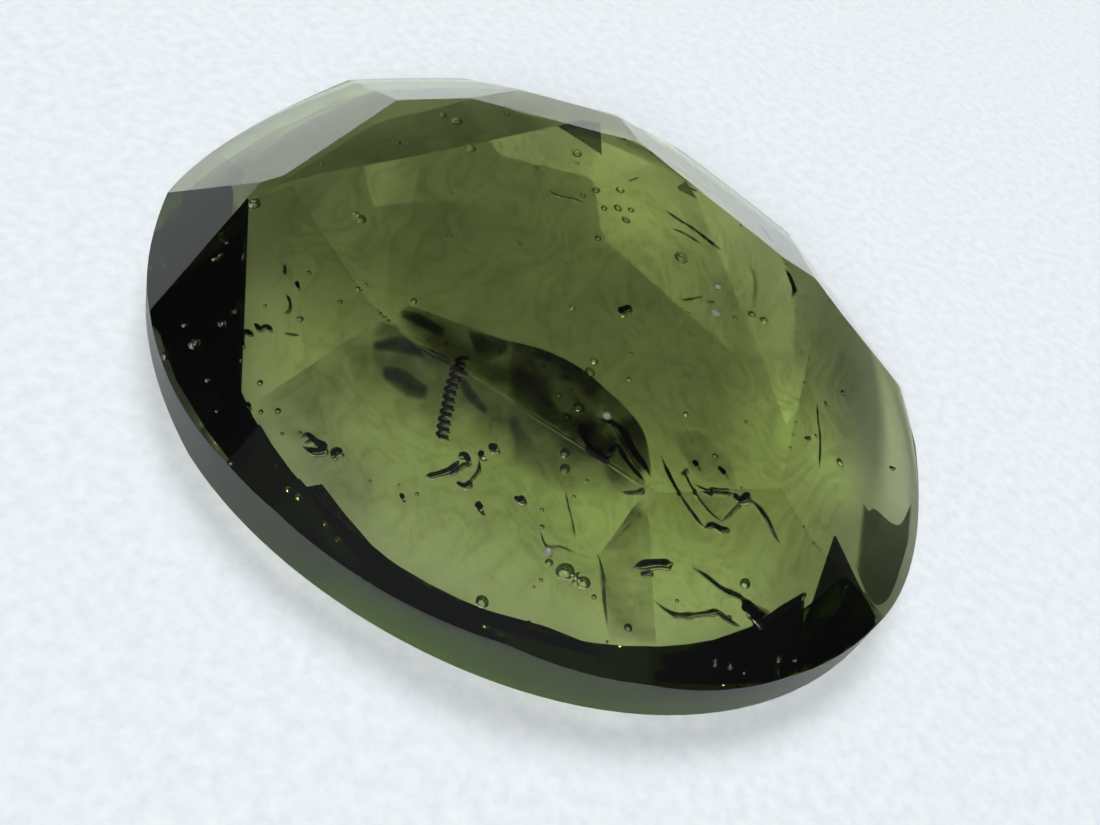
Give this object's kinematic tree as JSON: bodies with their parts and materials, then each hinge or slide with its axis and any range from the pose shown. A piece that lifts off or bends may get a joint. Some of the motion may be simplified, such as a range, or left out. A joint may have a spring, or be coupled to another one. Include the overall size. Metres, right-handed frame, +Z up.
{
  "type": "faceted moldavite",
  "caption": "Oval faceted cut stone of see-through green natural glass, with a wide flat table, a frosted girdle and a flat, shallowly bevelled underside to rest on.",
  "frame": {"origin": "middle of the flat underside, on the surface the stone rests on", "axes": "+Z up through the table, X along the stone's length"},
  "size_m": [0.0147, 0.0134, 0.0026],
  "materials": {
    "moldavite_glass": "polished facets, finely ground girdle"
  },
  "bodies": {
    "root": {"moldavite": "moldavite_glass"}
  },
  "joints": []
}
